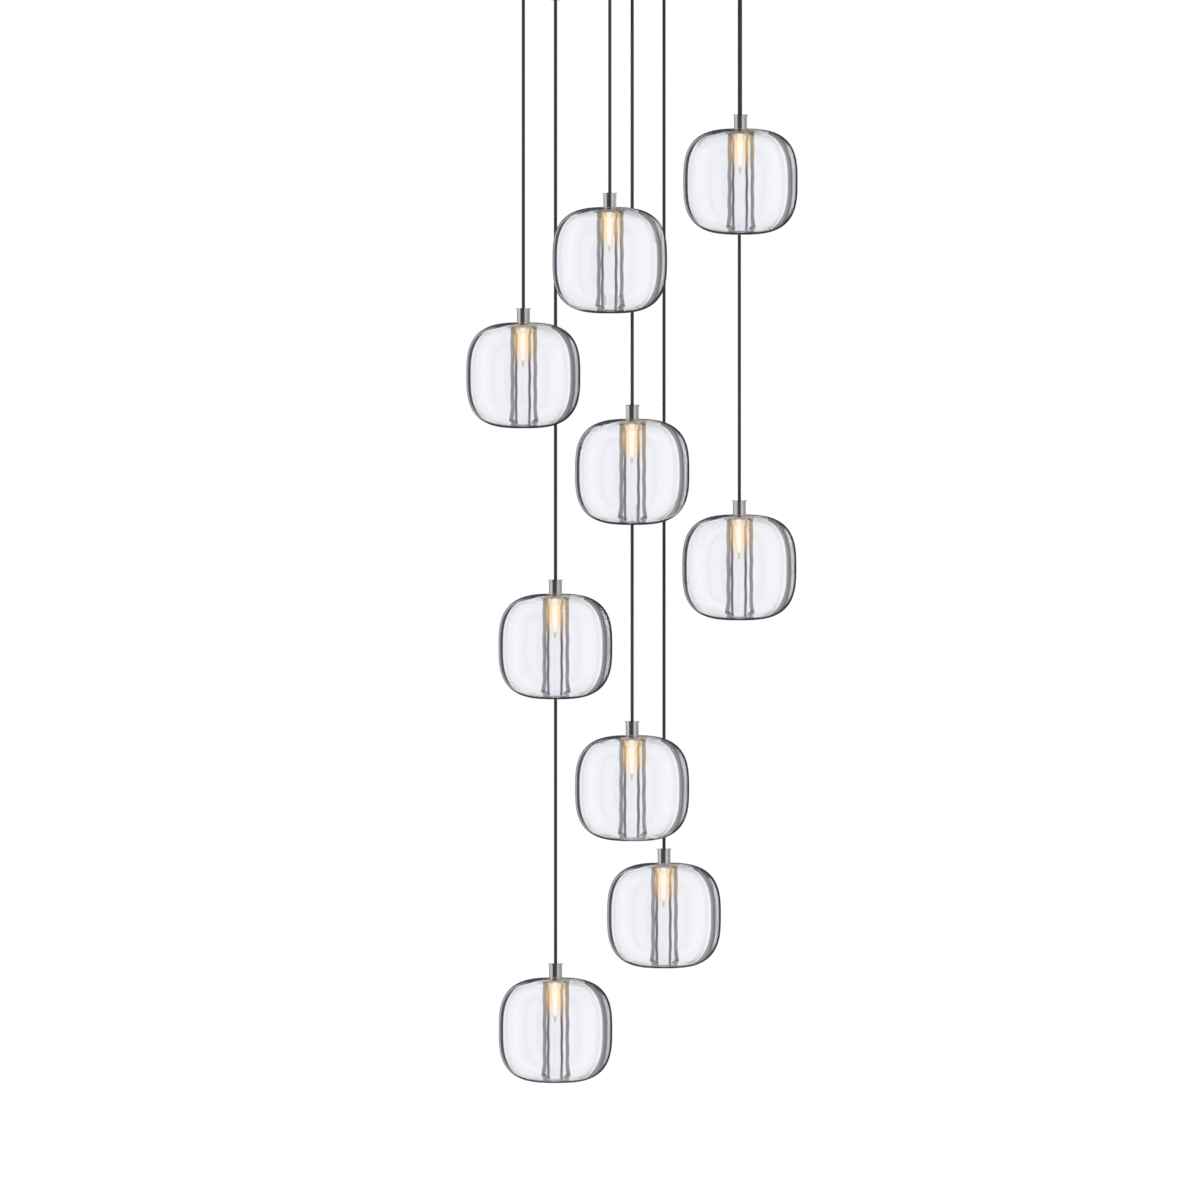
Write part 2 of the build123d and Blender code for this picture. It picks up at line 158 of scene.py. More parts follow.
# Lamp: its glow from the middle to the edge, and its plain quartz
GLOW = [
    (0.0, (1.0, 0.97, 0.92)), (0.12, (1.0, 0.95, 0.82)), (0.35, (1.0, 0.76, 0.42)), (1.0, (0.72, 0.40, 0.14)),
]
GLOW_STRENGTH = 1.1
GLOW_ROUGHNESS = 0.15
UNLIT = (0.10, 0.07, 0.04)
QUARTZ_DARK = (0.72, 0.65, 0.58)
QUARTZ_LIGHT = (0.84, 0.78, 0.72)
QUARTZ_GLOW = (1.0, 0.82, 0.66)
QUARTZ_STRENGTH = 0.35
QUARTZ_ROUGHNESS = 0.2
QUARTZ_GRAIN = 900.0

# Braided cord
CORD_DARK = (0.036, 0.024, 0.023)
CORD_LIGHT = (0.062, 0.044, 0.042)
CORD_ROUGHNESS = 0.7
BRAID_LOW = 0.2
BRAID_HIGH = 0.8
BRAID_SCALE = 260.0
BRAID_DISTORTION = 1.5
BRAID_BUMP = 0.2
BRAID_DEPTH = 0.1 * MM

# Noise in the other materials: the part of its range that is used, and its size and strength
NOISE_LOW = 0.3
NOISE_HIGH = 0.7
NOISE_DETAIL = 4.0
METAL_CLOUD = 60.0
METAL_BUMP = 0.25
DULL_CLOUD_SHARE = 1 / 8
DULL_BUMP = 0.3

# Studio that metal and glass mirror: light and dark sides, by the share of a turn round the cluster
DIM = (0.065, 0.06, 0.06)
HALF = (0.48, 0.49, 0.53)
BRIGHT = (0.85, 0.83, 0.83)
SIDES = [
    (0.0, DIM), (0.02, DIM), (0.035, BRIGHT), (0.055, BRIGHT), (0.075, DIM), (0.135, DIM), (0.16, BRIGHT),
    (0.33, BRIGHT), (0.36, DIM), (0.56, DIM), (0.59, BRIGHT), (0.68, BRIGHT), (0.71, HALF), (0.89, HALF),
    (0.93, DIM), (1.0, DIM),
]
WHITE = (1.0, 1.0, 1.0)
ROOM_STRENGTH = 0.7

# Soft lights: name, place, power in watts and width
LIGHTS = [
    ("key", (-1.6, -2.6, 0.4), 26.0, 1.6),
    ("fill", (2.2, -1.8, -0.4), 12.0, 1.8),
    ("back", (0.4, 2.6, 0.2), 10.0, 1.6),
]

# Floor
FLOOR_Z = -2.4
FLOOR_RADIUS = 4.0
FLOOR_COLOUR = (0.92, 0.92, 0.92)
FLOOR_ROUGHNESS = 0.8

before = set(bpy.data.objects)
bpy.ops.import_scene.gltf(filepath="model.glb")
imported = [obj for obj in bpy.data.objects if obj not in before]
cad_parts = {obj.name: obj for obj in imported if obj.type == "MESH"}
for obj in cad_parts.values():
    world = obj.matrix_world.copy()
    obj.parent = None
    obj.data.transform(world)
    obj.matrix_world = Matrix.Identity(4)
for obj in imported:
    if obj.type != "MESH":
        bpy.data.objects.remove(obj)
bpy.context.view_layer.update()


def smooth_step(value, low, high):
    """Rises smoothly from 0 at low to 1 at high."""
    share = min(1.0, max(0.0, (value - low) / (high - low)))
    return share * share * (3 - 2 * share)


def soft_point(angle, power):
    """A point of a unit superellipse in the direction of an angle."""
    across = math.cos(angle)
    up = math.sin(angle)
    reach = (abs(across) ** power + abs(up) ** power) ** (-1 / power)
    return reach * across, reach * up


def ring(middle, radius, height, near_shift=0.0, far_shift=0.0):
    """A level ring of points, round near the tube and a soft square near the walls."""
    square = smooth_step(radius, ROUND_WITHIN, SQUARE_BEYOND)
    power = 2 + (POWER - 2) * square
    points = []
    for step in range(AROUND):
        across, along = soft_point(2 * math.pi * step / AROUND, power)
        points.append((
            middle[0] + radius * across + near_shift * (1 - square) + far_shift * square,
            middle[1] + radius * along,
            middle[2] + height,
        ))
    return points


def circle(middle, radius, height):
    """A level circle of points for a lamp, at a height of its own."""
    points = []
    for step in range(LAMP_AROUND):
        angle = 2 * math.pi * step / LAMP_AROUND
        points.append((middle.x + radius * math.cos(angle), middle.y + radius * math.sin(angle), height))
    return points


def add_strip(mesh, row, after, slot):
    """Smooth faces between two rings of corners, with one material slot."""
    faces = []
    for step in range(len(row)):
        following = (step + 1) % len(row)
        face = mesh.faces.new((row[step], row[following], after[following], after[step]))
        face.material_index = slot
        face.smooth = True
        faces.append(face)
    return faces


def add_loops(mesh, loops, slots, inward):
    """Joins rings into one closed ring-shaped surface, with a material slot for the strip after each ring."""
    rows = [[mesh.verts.new(point) for point in loop] for loop in loops]
    faces = []
    for index, row in enumerate(rows):
        faces += add_strip(mesh, row, rows[(index + 1) % len(rows)], slots[index])
    bmesh.ops.recalc_face_normals(mesh, faces=faces)
    if inward:
        bmesh.ops.reverse_faces(mesh, faces=faces)


def wave(height):
    """How much the hand-made tube swells at a height."""
    share = height / WAVE_LENGTH
    return TUBE_WAVE * (math.sin(share * 2 * math.pi) + SECOND_WAVE * math.sin(share * SECOND_TURN))


def wall_profile(half_width, half_height, least_top, least_bottom):
    """Radius and height along a soft-square wall from near the top's middle to near the bottom's middle."""
    points = []
    for step in range(OVER + 1):
        across, up = soft_point(math.pi / 2 - math.pi * step / OVER, POWER)
        least = least_top if up > 0 else least_bottom
        if half_width * across > least:
            points.append((half_width * across, half_height * up))
    return points


def height_at(radius, half_width, half_height):
    """How high the soft-square wall is at a radius."""
    return half_height * (1 - (radius / half_width) ** POWER) ** (1 / POWER)


def outer_surface(half_width, half_height):
    """Radius, height and slot down the outside of a shade, round the bore's lip and up the bore."""
    top = half_height
    bottom = -half_height
    lip = BORE_RADIUS + BORE_LIP
    rows = [(NECK_RADIUS, top, OUTSIDE)]
    rows += [(r, z, OUTSIDE) for r, z in wall_profile(half_width, half_height, NECK_RADIUS + MM, lip + MM)]
    for step in range(CORNER + 1):
        turn = math.pi / 2 * step / CORNER
        rows.append((lip - BORE_LIP * math.sin(turn), bottom + BORE_LIP * (1 - math.cos(turn)), BORE))
    low = bottom + BORE_LIP
    high = top - BORE_CEILING
    for step in range(1, ALONG):
        height = low + (high - low) * step / ALONG
        holder = smooth_step(height, high - HOLDER_DEPTH - HOLDER_EASE, high - HOLDER_DEPTH)
        radius = BORE_RADIUS + (HOLDER_RADIUS - BORE_RADIUS) * holder
        rows.append((radius + BORE_WAVE * wave(height + BORE_WAVE_LAG), height, BORE))
    rows.append((HOLDER_RADIUS, high, BORE))
    rows.append((NECK_RADIUS, high, BORE))
    return rows


def cavity_surface(half_width, half_height):
    """Radius, height and slot down the inside of a shade's wall and back up the outside of its tube."""
    root = TUBE_RADIUS + TUBE_FLARE
    level = height_at(root, half_width, half_height)
    rows = [(root, level, INSIDE)]
    rows += [(r, z, INSIDE) for r, z in wall_profile(half_width, half_height, root + MM, root + MM)]
    for step in range(CORNER + 1):
        turn = math.pi / 2 * step / CORNER
        rows.append((root - TUBE_FLARE * math.sin(turn), -level + TUBE_FLARE * (1 - math.cos(turn)), TUBE))
    low = -level + TUBE_FLARE
    high = level - TUBE_FLARE
    for step in range(1, ALONG):
        height = low + (high - low) * step / ALONG
        foot = TUBE_FOOT * smooth_step(height, low + FOOT_HEIGHT, low)
        rows.append((TUBE_RADIUS + foot + wave(height), height, TUBE))
    for step in range(CORNER):
        turn = math.pi / 2 * (1 - step / CORNER)
        rows.append((root - TUBE_FLARE * math.sin(turn), level - TUBE_FLARE * (1 - math.cos(turn)), TUBE))
    return rows


def new_piece(name, mesh, materials):
    """Turns a finished mesh into an object of the scene."""
    data = bpy.data.meshes.new(name)
    mesh.to_mesh(data)
    mesh.free()
    data.set_sharp_from_angle(angle=SHARP_ANGLE)
    for material in materials:
        data.materials.append(material)
    piece = bpy.data.objects.new(name, data)
    bpy.context.scene.collection.objects.link(piece)
    return piece


def glass_piece(number, materials):
    """One hollow soft cube of glass with its bored tube, in place of the plain shade."""
    low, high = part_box(f"glass_shade_{number}")
    middle = (low + high) / 2
    half_width = (high.x - low.x) / 2
    half_height = (high.z - low.z) / 2
    mesh = bmesh.new()
    outer = outer_surface(half_width, half_height)
    loops = [ring(middle, r, z) for r, z, slot in outer]
    add_loops(mesh, loops, [slot for r, z, slot in outer], False)
    cavity = cavity_surface(half_width - SIDE_WALL, half_height - END_WALL)
    loops = [ring(middle, r, z - CAVITY_DROP, TUBE_SHIFT, -CAVITY_SHIFT) for r, z, slot in cavity]
    add_loops(mesh, loops, [slot for r, z, slot in cavity], True)
    piece = new_piece(f"blown_glass_{number}", mesh, materials)
    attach(piece, f"pendant_{number}")
    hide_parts(f"glass_shade_{number}")


def lamp_surface(top, bottom):
    """Radius, height and slot down a lamp: seal, shoulder, tapering side and drawn tip."""
    shoulder = top - SEAL_HEIGHT
    side = shoulder - SHOULDER_HEIGHT
    dome = bottom + TIP_HEIGHT
    rows = [(CAP_RADIUS, top, PLAIN), (SEAL_RADIUS, top, PLAIN), (SEAL_RADIUS, shoulder, LIT)]
    for step in range(1, CORNER + 1):
        share = step / CORNER
        swell = (LAMP_RADIUS - SEAL_RADIUS) * smooth_step(share, 0, 1)
        rows.append((SEAL_RADIUS + swell, shoulder - SHOULDER_HEIGHT * share, LIT))
    for step in range(1, DOME_STEPS + 1):
        share = step / DOME_STEPS
        taper = (LAMP_RADIUS - TIP_RADIUS) * math.cos(math.pi / 2 * share) ** DOME_POWER
        rows.append((TIP_RADIUS + taper, side + (dome - side) * share, LIT))
    for step in range(1, TIP_STEPS + 1):
        share = step / TIP_STEPS
        rows.append((TIP_RADIUS + (TIP_END_RADIUS - TIP_RADIUS) * share, dome - TIP_HEIGHT * share, PLAIN))
    rows.append((CAP_RADIUS, bottom, PLAIN))
    return rows


def lamp_piece(number, materials):
    """One lit capsule lamp, closed at both ends."""
    low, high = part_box(f"lamp_{number}")
    middle = (low + high) / 2
    rows = lamp_surface(high.z - PIN_HEIGHT, low.z)
    mesh = bmesh.new()
    rings = [[mesh.verts.new(point) for point in circle(middle, r, z)] for r, z, slot in rows]
    for index in range(len(rings) - 1):
        add_strip(mesh, rings[index], rings[index + 1], rows[index + 1][2])
    mesh.faces.new(rings[0])
    mesh.faces.new(list(reversed(rings[-1])))
    bmesh.ops.recalc_face_normals(mesh, faces=mesh.faces[:])
    piece = new_piece(f"lit_capsule_{number}", mesh, materials)
    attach(piece, f"pendant_{number}")
    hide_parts(f"lamp_{number}")


def cord_curve(name, points, material):
    """A round cord along a smooth line."""
    curve = bpy.data.curves.new(name, "CURVE")
    curve.dimensions = "3D"
    curve.bevel_depth = CORD_DIAMETER / 2
    curve.bevel_resolution = CORD_STEPS
    curve.use_fill_caps = True
    spline = curve.splines.new("NURBS")
    spline.points.add(len(points) - 1)
    for point, place in zip(spline.points, points):
        point.co = (*place, 1)
    spline.order_u = CORD_ORDER
    spline.use_endpoint_u = True
    curve.materials.append(material)
    piece = bpy.data.objects.new(name, curve)
    bpy.context.scene.collection.objects.link(piece)
    return piece


def straight_line(start, end):
    """The points of a cord that is pulled straight between two places."""
    along = (end - start).normalized() * CORD_STRAIGHT
    return [start, start + along, end - along, end]


def cord_top(number):
    """Where a cord hangs from its grip."""
    low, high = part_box(f"cord_{number}")
    return Vector(((low.x + high.x) / 2, (low.y + high.y) / 2, high.z))


def cord_piece(number, material):
    """One straight cord from its grip down into its cap, left out of what the glass in front of it shows."""
    low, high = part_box(f"cord_{number}")
    top = cord_top(number)
    piece = cord_curve(f"hanging_cord_{number}", straight_line(top, Vector((top.x, top.y, low.z))), material)
    piece.visible_transmission = False
    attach(piece, f"cord_{number}")
    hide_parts(f"cord_{number}")


def beside(corner, other, distance):
    """A point near a corner on a long run towards another point."""
    return corner + (other - corner).normalized() * distance


def tail_line(number):
    """The points of a tail: up through its grip, over a bend and level into the terminal block."""
    low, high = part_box("terminal_block")
    start = cord_top(number)
    start.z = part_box("cord_tails")[0].z
    entry = TAILS[number - 1][0] * MM
    side = -1 if start.y < low.y else 1
    face = low.y if side < 0 else high.y
    held = start + Vector((0, 0, GRIP_RISE))
    above = Vector((start.x, start.y, high.z - WAY_DROP))
    corner = Vector((entry, face + side * ENTRY_RUN, above.z))
    end = Vector((entry, face - side * WAY_DEPTH, above.z))
    if abs(entry - start.x) < MM:
        return [start, held, above, end]
    after = beside(above, corner, (above - held).length)
    before = beside(corner, above, (end - corner).length)
    return [start, held, above, after, before, corner, end]


def tail_piece(number, material):
    """One cord's tail inside the canopy."""
    points = tail_line(number)
    piece = cord_curve(f"cord_tail_{number}", points, material)
    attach(piece, "canopy")
    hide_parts("cord_tails")


def lead_piece(material):
    """The straight lead from the transformer to the terminal block."""
    low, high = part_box("transformer_lead")
    middle = (low + high) / 2
    start = Vector((middle.x, high.y, middle.z))
    piece = cord_curve("supply_lead", straight_line(start, Vector((middle.x, low.y, middle.z))), material)
    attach(piece, "canopy")
    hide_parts("transformer_lead")


def new_material(name):
    """A new material with its shader and its tree."""
    material = bpy.data.materials.new(name)
    material.use_nodes = True
    return material, material.node_tree, material.node_tree.nodes["Principled BSDF"]


def ramp_node(tree, source, stops):
    """A colour ramp fed by a socket."""
    node = tree.nodes.new("ShaderNodeValToRGB")
    elements = node.color_ramp.elements
    elements.remove(elements[1])
    elements[0].position = stops[0][0]
    elements[0].color = (*stops[0][1], 1)
    for position, colour in stops[1:]:
        elements.new(position).color = (*colour, 1)
    tree.links.new(source, node.inputs["Fac"])
    return node.outputs["Color"]


def rise(tree, source, low, high):
    """A share that rises smoothly from 0 at low to 1 at high, or falls where low is the greater."""
    share = tree.nodes.new("ShaderNodeMapRange")
    share.interpolation_type = "SMOOTHSTEP"
    share.inputs["From Min"].default_value = low
    share.inputs["From Max"].default_value = high
    tree.links.new(source, share.inputs["Value"])
    return share.outputs["Result"]


def share_along(tree, axis, low, high):
    """A share that rises smoothly across a piece's own box, along one of its axes."""
    place = tree.nodes.new("ShaderNodeTexCoord")
    parts = tree.nodes.new("ShaderNodeSeparateXYZ")
    tree.links.new(place.outputs["Generated"], parts.inputs["Vector"])
    return rise(tree, parts.outputs[axis], low, high)


def mixed(tree, share, first, second):
    """A colour between two, by a share."""
    node = tree.nodes.new("ShaderNodeMix")
    node.data_type = "RGBA"
    tree.links.new(share, node.inputs["Factor"])
    tree.links.new(first, node.inputs["A"])
    tree.links.new(second, node.inputs["B"])
    return node.outputs["Result"]


def joined(tree, operation, first, second):
    """Two numbers joined by arithmetic, each a socket or a plain number."""
    node = tree.nodes.new("ShaderNodeMath")
    node.operation = operation
    for value, socket in zip((first, second), node.inputs):
        if isinstance(value, (int, float)):
            socket.default_value = value
        else:
            tree.links.new(value, socket)
    return node.outputs["Value"]


def facing_socket(tree):
    """How much a surface turns away from the eye."""
    edge = tree.nodes.new("ShaderNodeLayerWeight")
    edge.inputs["Blend"].default_value = PLAIN_BLEND
    return edge.outputs["Facing"]


def glass_shader(name):
    """Clear glass, with a socket that says how much a surface turns away from the eye."""
    material, tree, shader = new_material(name)
    shader.inputs["Roughness"].default_value = 0.0
    shader.inputs["IOR"].default_value = GLASS_IOR
    shader.inputs["Transmission Weight"].default_value = 1.0
    return material, tree, shader, facing_socket(tree)


def outside_glass():
    """The outer face: a painted black reflection along the right and the bottom, and a painted grey
    reflection at the edge elsewhere.
    """
    material, tree, shader, facing = glass_shader("glass outside")
    pale = ramp_node(tree, facing, PALE_EDGE)
    black_reflection = ramp_node(tree, facing, BLACK_REFLECTION_EDGE)
    share = joined(tree, "MAXIMUM", share_along(tree, *RIGHT), share_along(tree, *BOTTOM))
    tree.links.new(mixed(tree, share, pale, black_reflection), shader.inputs["Base Color"])
    return material


def tube_glass():
    """The outside of the tube: a painted dark reflection where it turns away, and the lamp's light painted
    amber near the lamp.
    """
    material, tree, shader, facing = glass_shader("glass tube")
    cool = ramp_node(tree, facing, COOL_TUBE)
    lamplit = ramp_node(tree, facing, LAMPLIT_TUBE)
    tree.links.new(mixed(tree, share_along(tree, *LAMPLIT_PART), cool, lamplit), shader.inputs["Base Color"])
    return material


def mirror_share(tree, facing):
    """1 where a face inside the glass mirrors all light, because it is seen at a steep angle from within."""
    side = tree.nodes.new("ShaderNodeNewGeometry")
    steep = joined(tree, "GREATER_THAN", facing, MIRROR_FACING)
    return joined(tree, "MULTIPLY", steep, side.outputs["Backfacing"])


def close_glass(tree, shader, closed, clear, mirror):
    """Shuts the glass by a share, and colours its open and its shut part, where the shut part is a painted
    reflection.
    """
    open_share = joined(tree, "SUBTRACT", 1.0, closed)
    tree.links.new(open_share, shader.inputs["Transmission Weight"])
    tree.links.new(mixed(tree, closed, clear, mirror), shader.inputs["Base Color"])


def inside_glass():
    """The cavity's wall: a painted slate reflection at the rim on the left, and on the right a painted grey
    reflection at the rim with a clear gap outside it.
    """
    material, tree, shader, facing = glass_shader("glass inside")
    right = share_along(tree, *RIGHT)
    clear = ramp_node(tree, facing, CLEAR_WALL)
    slate = ramp_node(tree, facing, SLATE_RIM)
    grey = ramp_node(tree, facing, GREY_RIM)
    gap = joined(tree, "MULTIPLY", right, rise(tree, facing, GAP_FROM, GAP_TO))
    shut = joined(tree, "SUBTRACT", 1.0, gap)
    closed = joined(tree, "MULTIPLY", mirror_share(tree, facing), shut)
    close_glass(tree, shader, closed, clear, mixed(tree, right, slate, grey))
    return material


def bore_glass():
    """The bore's wall: a painted grey reflection where it mirrors, and a painted amber reflection of the
    lamp, glowing, where it mirrors the lamp.
    """
    material, tree, shader, facing = glass_shader("glass bore")
    clear = ramp_node(tree, facing, CLEAR_BORE)
    cool = ramp_node(tree, facing, COOL_BORE)
    lamplit = ramp_node(tree, facing, LAMPLIT_BORE)
    near_lamp = share_along(tree, *LIT_PART)
    closed = mirror_share(tree, facing)
    close_glass(tree, shader, closed, clear, mixed(tree, near_lamp, cool, lamplit))
    # A painted glow of the lamp's light where the bore mirrors it
    shader.inputs["Emission Color"].default_value = (*LAMPLIGHT, 1)
    tree.links.new(joined(tree, "MULTIPLY", closed, near_lamp), shader.inputs["Emission Strength"])
    return material


def noise_node(tree, scale, stretch=(1, 1, 1)):
    """Noise in the object's own metres."""
    place = tree.nodes.new("ShaderNodeTexCoord")
    mapping = tree.nodes.new("ShaderNodeMapping")
    mapping.inputs["Scale"].default_value = stretch
    noise = tree.nodes.new("ShaderNodeTexNoise")
    noise.inputs["Scale"].default_value = scale
    noise.inputs["Detail"].default_value = NOISE_DETAIL
    tree.links.new(place.outputs["Object"], mapping.inputs["Vector"])
    tree.links.new(mapping.outputs["Vector"], noise.inputs["Vector"])
    return noise.outputs["Fac"]


def add_bump(tree, shader, height, strength, distance):
    """Feeds a height into a shader's normal."""
    bump = tree.nodes.new("ShaderNodeBump")
    bump.inputs["Strength"].default_value = strength
    bump.inputs["Distance"].default_value = distance
    tree.links.new(height, bump.inputs["Height"])
    tree.links.new(bump.outputs["Normal"], shader.inputs["Normal"])


def grey_range(tree, source, low, high):
    """Maps noise to a range of numbers."""
    node = tree.nodes.new("ShaderNodeMapRange")
    node.inputs["From Min"].default_value = NOISE_LOW
    node.inputs["From Max"].default_value = NOISE_HIGH
    node.inputs["To Min"].default_value = low
    node.inputs["To Max"].default_value = high
    tree.links.new(source, node.inputs["Value"])
    return node.outputs["Result"]


def cloudy(tree, noise, dark, light):
    """A colour that drifts between a darker and a lighter one."""
    return ramp_node(tree, noise, [(NOISE_LOW, dark), (NOISE_HIGH, light)])


def metal_material(name, dark, light, smooth, rough, stretch, scale, depth):
    """A plated metal with fine lines, cloudy colour and uneven gloss."""
    material, tree, shader = new_material(name)
    shader.inputs["Metallic"].default_value = 1.0
    lines = noise_node(tree, scale, stretch)
    tree.links.new(cloudy(tree, noise_node(tree, METAL_CLOUD), dark, light), shader.inputs["Base Color"])
    tree.links.new(grey_range(tree, lines, smooth, rough), shader.inputs["Roughness"])
    add_bump(tree, shader, lines, METAL_BUMP, depth)
    return material


def dull_material(name, dark, light, smooth, rough, scale, depth):
    """A moulded or glazed surface with a fine grain."""
    material, tree, shader = new_material(name)
    cloud = noise_node(tree, scale * DULL_CLOUD_SHARE)
    grain = noise_node(tree, scale)
    tree.links.new(cloudy(tree, cloud, dark, light), shader.inputs["Base Color"])
    tree.links.new(grey_range(tree, grain, smooth, rough), shader.inputs["Roughness"])
    add_bump(tree, shader, grain, DULL_BUMP, depth)
    return material


def cord_material():
    """Dark brown round cord with a fine braid."""
    material, tree, shader = new_material("brown cord")
    braid = tree.nodes.new("ShaderNodeTexWave")
    braid.bands_direction = "DIAGONAL"
    braid.inputs["Scale"].default_value = BRAID_SCALE
    braid.inputs["Distortion"].default_value = BRAID_DISTORTION
    place = tree.nodes.new("ShaderNodeTexCoord")
    tree.links.new(place.outputs["Object"], braid.inputs["Vector"])
    colour = ramp_node(tree, braid.outputs["Fac"], [(BRAID_LOW, CORD_DARK), (BRAID_HIGH, CORD_LIGHT)])
    tree.links.new(colour, shader.inputs["Base Color"])
    shader.inputs["Roughness"].default_value = CORD_ROUGHNESS
    add_bump(tree, shader, braid.outputs["Fac"], BRAID_BUMP, BRAID_DEPTH)
    return material


def glow_material():
    """The lit part of a lamp: white in the middle and amber towards its edges."""
    material, tree, shader = new_material("lamp glow")
    shader.inputs["Base Color"].default_value = (*UNLIT, 1)
    shader.inputs["Roughness"].default_value = GLOW_ROUGHNESS
    tree.links.new(ramp_node(tree, facing_socket(tree), GLOW), shader.inputs["Emission Color"])
    shader.inputs["Emission Strength"].default_value = GLOW_STRENGTH
    return material


def tip_material():
    """The drawn tip and seal of a lamp, pale quartz that glows a little."""
    material, tree, shader = new_material("lamp tip")
    colour = cloudy(tree, noise_node(tree, QUARTZ_GRAIN), QUARTZ_DARK, QUARTZ_LIGHT)
    tree.links.new(colour, shader.inputs["Base Color"])
    shader.inputs["Roughness"].default_value = QUARTZ_ROUGHNESS
    shader.inputs["Emission Color"].default_value = (*QUARTZ_GLOW, 1)
    shader.inputs["Emission Strength"].default_value = QUARTZ_STRENGTH
    return material


def add_camera():
    """A level camera in front of the pendants, with the photo's frame."""
    data = bpy.data.cameras.new("camera")
    data.sensor_width = SENSOR_MM
    data.lens = LENS_MM
    data.clip_end = CLIP_END
    camera = bpy.data.objects.new("camera", data)
    camera.location = (VIEW_MIDDLE_X, -IMAGE_WIDTH * LENS_MM / SENSOR_MM, VIEW_MIDDLE_Z)
    camera.rotation_euler = (math.pi / 2, 0, 0)
    bpy.context.scene.collection.objects.link(camera)
    bpy.context.scene.camera = camera


def studio_sides(tree):
    """The light and dark sides of the studio, round the vertical from the front."""
    place = tree.nodes.new("ShaderNodeTexCoord")
    turn = tree.nodes.new("ShaderNodeMapping")
    turn.inputs["Rotation"].default_value = (0, 0, math.pi / 2)
    round_about = tree.nodes.new("ShaderNodeTexGradient")
    round_about.gradient_type = "RADIAL"
    tree.links.new(place.outputs["Generated"], turn.inputs["Vector"])
    tree.links.new(turn.outputs["Vector"], round_about.inputs["Vector"])
    return ramp_node(tree, round_about.outputs["Fac"], SIDES)


def chosen(tree, share, first, second):
    """One of two backgrounds, by a share."""
    node = tree.nodes.new("ShaderNodeMixShader")
    tree.links.new(share, node.inputs["Fac"])
    tree.links.new(first, node.inputs[1])
    tree.links.new(second, node.inputs[2])
    return node.outputs["Shader"]


def add_world():
    """A white room for the eye and the glass, a studio for what mirrors, and soft light for the rest."""
    world = bpy.data.worlds.new("studio")
    bpy.context.scene.world = world
    world.use_nodes = True
    tree = world.node_tree
    plain = tree.nodes["Background"]
    plain.inputs["Color"].default_value = (*WHITE, 1)
    plain.inputs["Strength"].default_value = ROOM_STRENGTH
    white = tree.nodes.new("ShaderNodeBackground")
    white.inputs["Color"].default_value = (*WHITE, 1)
    studio = tree.nodes.new("ShaderNodeBackground")
    tree.links.new(studio_sides(tree), studio.inputs["Color"])
    path = tree.nodes.new("ShaderNodeLightPath")
    seen = joined(tree, "MAXIMUM", path.outputs["Is Camera Ray"], path.outputs["Is Transmission Ray"])
    mirrored = path.outputs["Is Glossy Ray"]
    unseen = chosen(tree, mirrored, plain.outputs["Background"], studio.outputs["Background"])
    shown = chosen(tree, seen, unseen, white.outputs["Background"])
    tree.links.new(shown, tree.nodes["World Output"].inputs["Surface"])


def add_light(name, place, power, size):
    """A soft square light that faces the middle of the cluster."""
    data = bpy.data.lights.new(name, "AREA")
    data.energy = power
    data.size = size
    light = bpy.data.objects.new(name, data)
    light.location = place
    aim = bpy.data.objects.new(f"{name} aim", None)
    aim.location = (0, 0, VIEW_MIDDLE_Z)
    bpy.context.scene.collection.objects.link(light)
    bpy.context.scene.collection.objects.link(aim)
    track = light.constraints.new("TRACK_TO")
    track.target = aim
    track.track_axis = "TRACK_NEGATIVE_Z"
    track.up_axis = "UP_Y"
    light.visible_glossy = False
    light.visible_transmission = False


def floor_material():
    """A pale floor that fades out towards its rim."""
    material, tree, shader = new_material("floor")
    shader.inputs["Base Color"].default_value = (*FLOOR_COLOUR, 1)
    shader.inputs["Roughness"].default_value = FLOOR_ROUGHNESS
    place = tree.nodes.new("ShaderNodeTexCoord")
    shrink = tree.nodes.new("ShaderNodeMapping")
    shrink.inputs["Scale"].default_value = (1 / FLOOR_RADIUS, 1 / FLOOR_RADIUS, 1)
    fade = tree.nodes.new("ShaderNodeTexGradient")
    fade.gradient_type = "SPHERICAL"
    tree.links.new(place.outputs["Object"], shrink.inputs["Vector"])
    tree.links.new(shrink.outputs["Vector"], fade.inputs["Vector"])
    tree.links.new(fade.outputs["Fac"], shader.inputs["Alpha"])
    return material


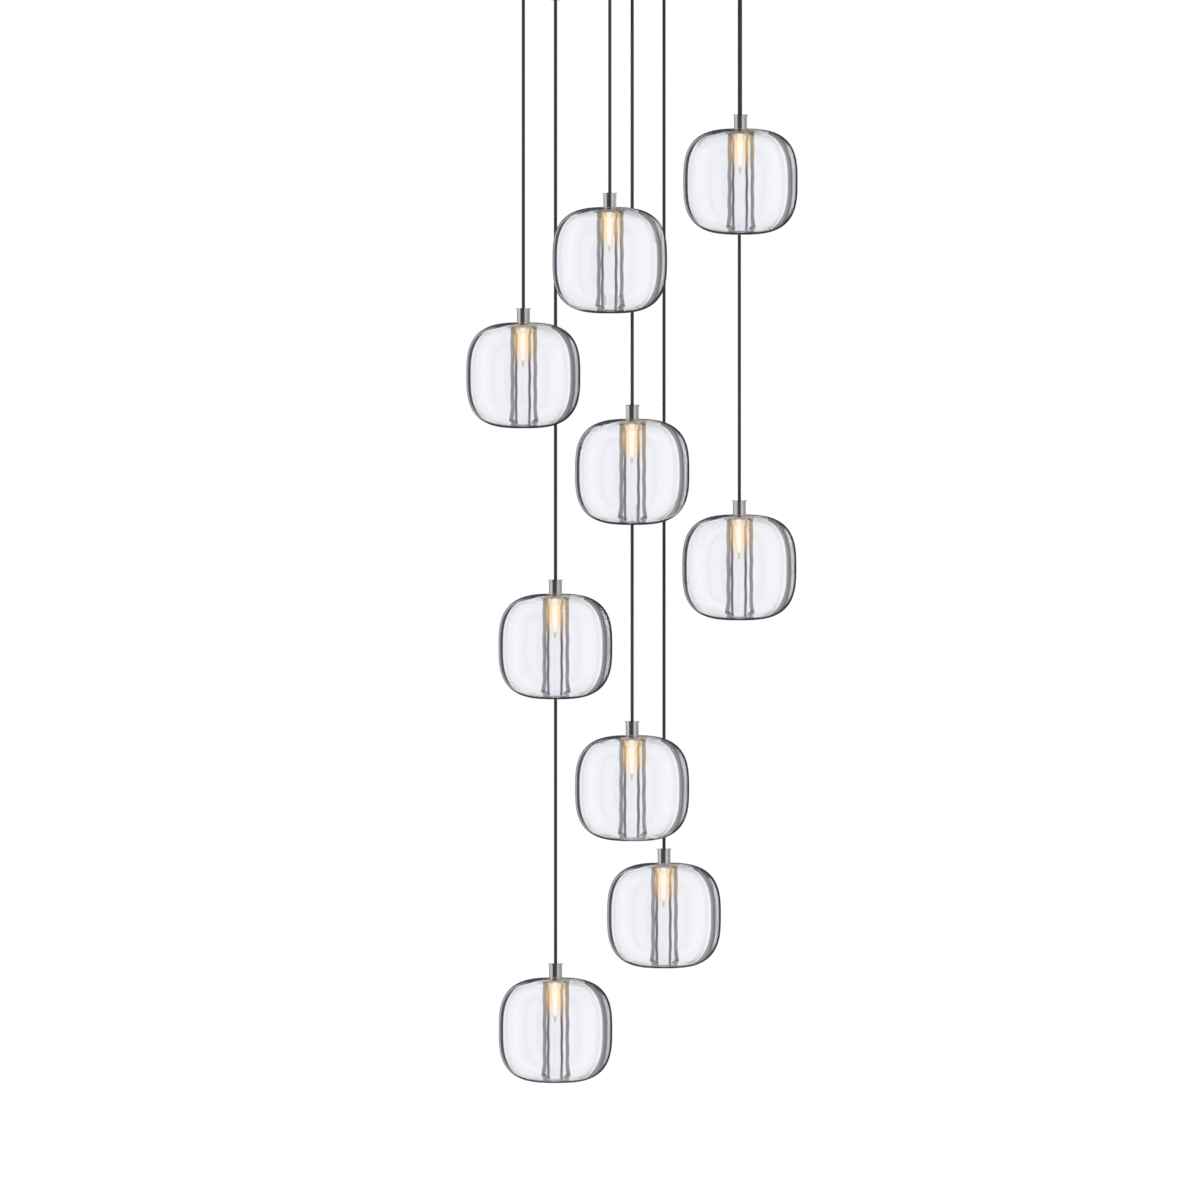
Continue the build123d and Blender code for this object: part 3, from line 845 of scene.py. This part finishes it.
def add_floor():
    """A round floor under the cluster."""
    data = bpy.data.meshes.new("floor")
    mesh = bmesh.new()
    bmesh.ops.create_circle(mesh, cap_ends=True, segments=FLOOR_STEPS, radius=FLOOR_RADIUS)
    mesh.to_mesh(data)
    mesh.free()
    data.materials.append(floor_material())
    floor = bpy.data.objects.new("floor", data)
    floor.location = (0, 0, FLOOR_Z)
    bpy.context.scene.collection.objects.link(floor)


def dress(nodes, material):
    """Gives solids that stay as they are a better material."""
    for node in nodes:
        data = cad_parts[node].data
        data.materials.clear()
        data.materials.append(material)


glass = [outside_glass(), inside_glass(), tube_glass(), bore_glass()]
lamp = [glow_material(), tip_material()]
cord = cord_material()
nickel = metal_material(
    "satin nickel", dark=(0.60, 0.585, 0.565), light=(0.70, 0.685, 0.665), smooth=0.16, rough=0.26,
    stretch=(1, 1, 0.05), scale=900.0, depth=0.02 * MM,
)
zinc = metal_material(
    "zinc steel", dark=(0.52, 0.53, 0.55), light=(0.66, 0.67, 0.68), smooth=0.28, rough=0.42,
    stretch=(1, 1, 1), scale=400.0, depth=0.03 * MM,
)
brass = metal_material(
    "earth brass", dark=(0.66, 0.50, 0.22), light=(0.78, 0.63, 0.34), smooth=0.2, rough=0.32,
    stretch=(1, 1, 1), scale=500.0, depth=0.02 * MM,
)
steatite = dull_material(
    "steatite", dark=(0.80, 0.78, 0.72), light=(0.88, 0.86, 0.81), smooth=0.35, rough=0.5,
    scale=900.0, depth=0.03 * MM,
)
plastic = dull_material(
    "grey plastic", dark=(0.10, 0.105, 0.11), light=(0.13, 0.135, 0.14), smooth=0.4, rough=0.55,
    scale=1600.0, depth=0.05 * MM,
)

add_camera()
add_world()
for name, place, power, size in LIGHTS:
    add_light(name, place, power, size)
add_floor()
numbers = range(1, COUNT + 1)
for number in numbers:
    cord_piece(number, cord)
    tail_piece(number, cord)
    glass_piece(number, glass)
    lamp_piece(number, lamp)
lead_piece(cord)
dress([f"cap_{number}" for number in numbers] + ["canopy_pan", "cord_grips", "canopy_screws"], nickel)
dress([f"lamp_holder_{number}" for number in numbers] + ["terminal_block"], steatite)
dress(["ceiling_bracket", "grip_nuts", "grip_set_screws", "block_screws", "transformer_screws"], zinc)
dress(["earth_screw"], brass)
dress(["transformer"], plastic)
bpy.context.scene.view_settings.view_transform = "Standard"
